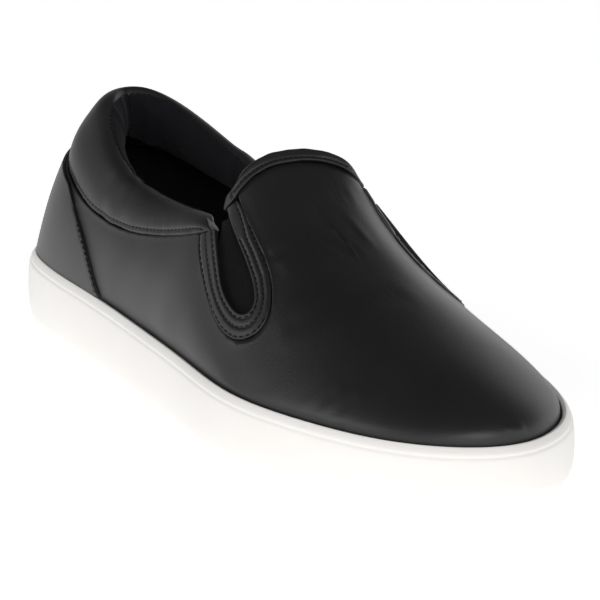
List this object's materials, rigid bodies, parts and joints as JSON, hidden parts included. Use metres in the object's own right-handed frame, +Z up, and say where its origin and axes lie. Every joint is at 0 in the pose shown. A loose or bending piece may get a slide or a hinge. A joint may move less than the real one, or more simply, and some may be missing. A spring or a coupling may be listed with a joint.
{
  "type": "slip-on sneaker",
  "caption": "Low slip-on sneaker, right foot: smooth leather upper with padded collar, elastic side gores and heel counter on a flat rubber cupsole.",
  "frame": {"origin": "on the ground, under the middle of the shoe's length and width", "axes": "+X from heel to toe, -Y to the outer (lateral) side and +Y to the inner (medial) side of the right foot, +Z up"},
  "size_m": [0.2978, 0.1114, 0.0939],
  "materials": {
    "sole_rubber": "matt warm-white moulded rubber",
    "upper_leather": "smooth black leather with a soft sheen",
    "collar_leather": "soft black leather, turned over the edge",
    "facing_leather": "stitched black leather band",
    "gore_elastic": "fine ribbed black elastic",
    "footbed_fabric": "dark textile"
  },
  "bodies": {
    "root": {"cupsole": "sole_rubber", "upper": "upper_leather", "heel_counter": "upper_leather", "padded_collar": "collar_leather", "gore_facing_lateral": "facing_leather", "gore_facing_medial": "facing_leather", "gore_lateral": "gore_elastic", "gore_medial": "gore_elastic", "throat_binding": "collar_leather", "insole": "footbed_fabric"}
  },
  "joints": []
}
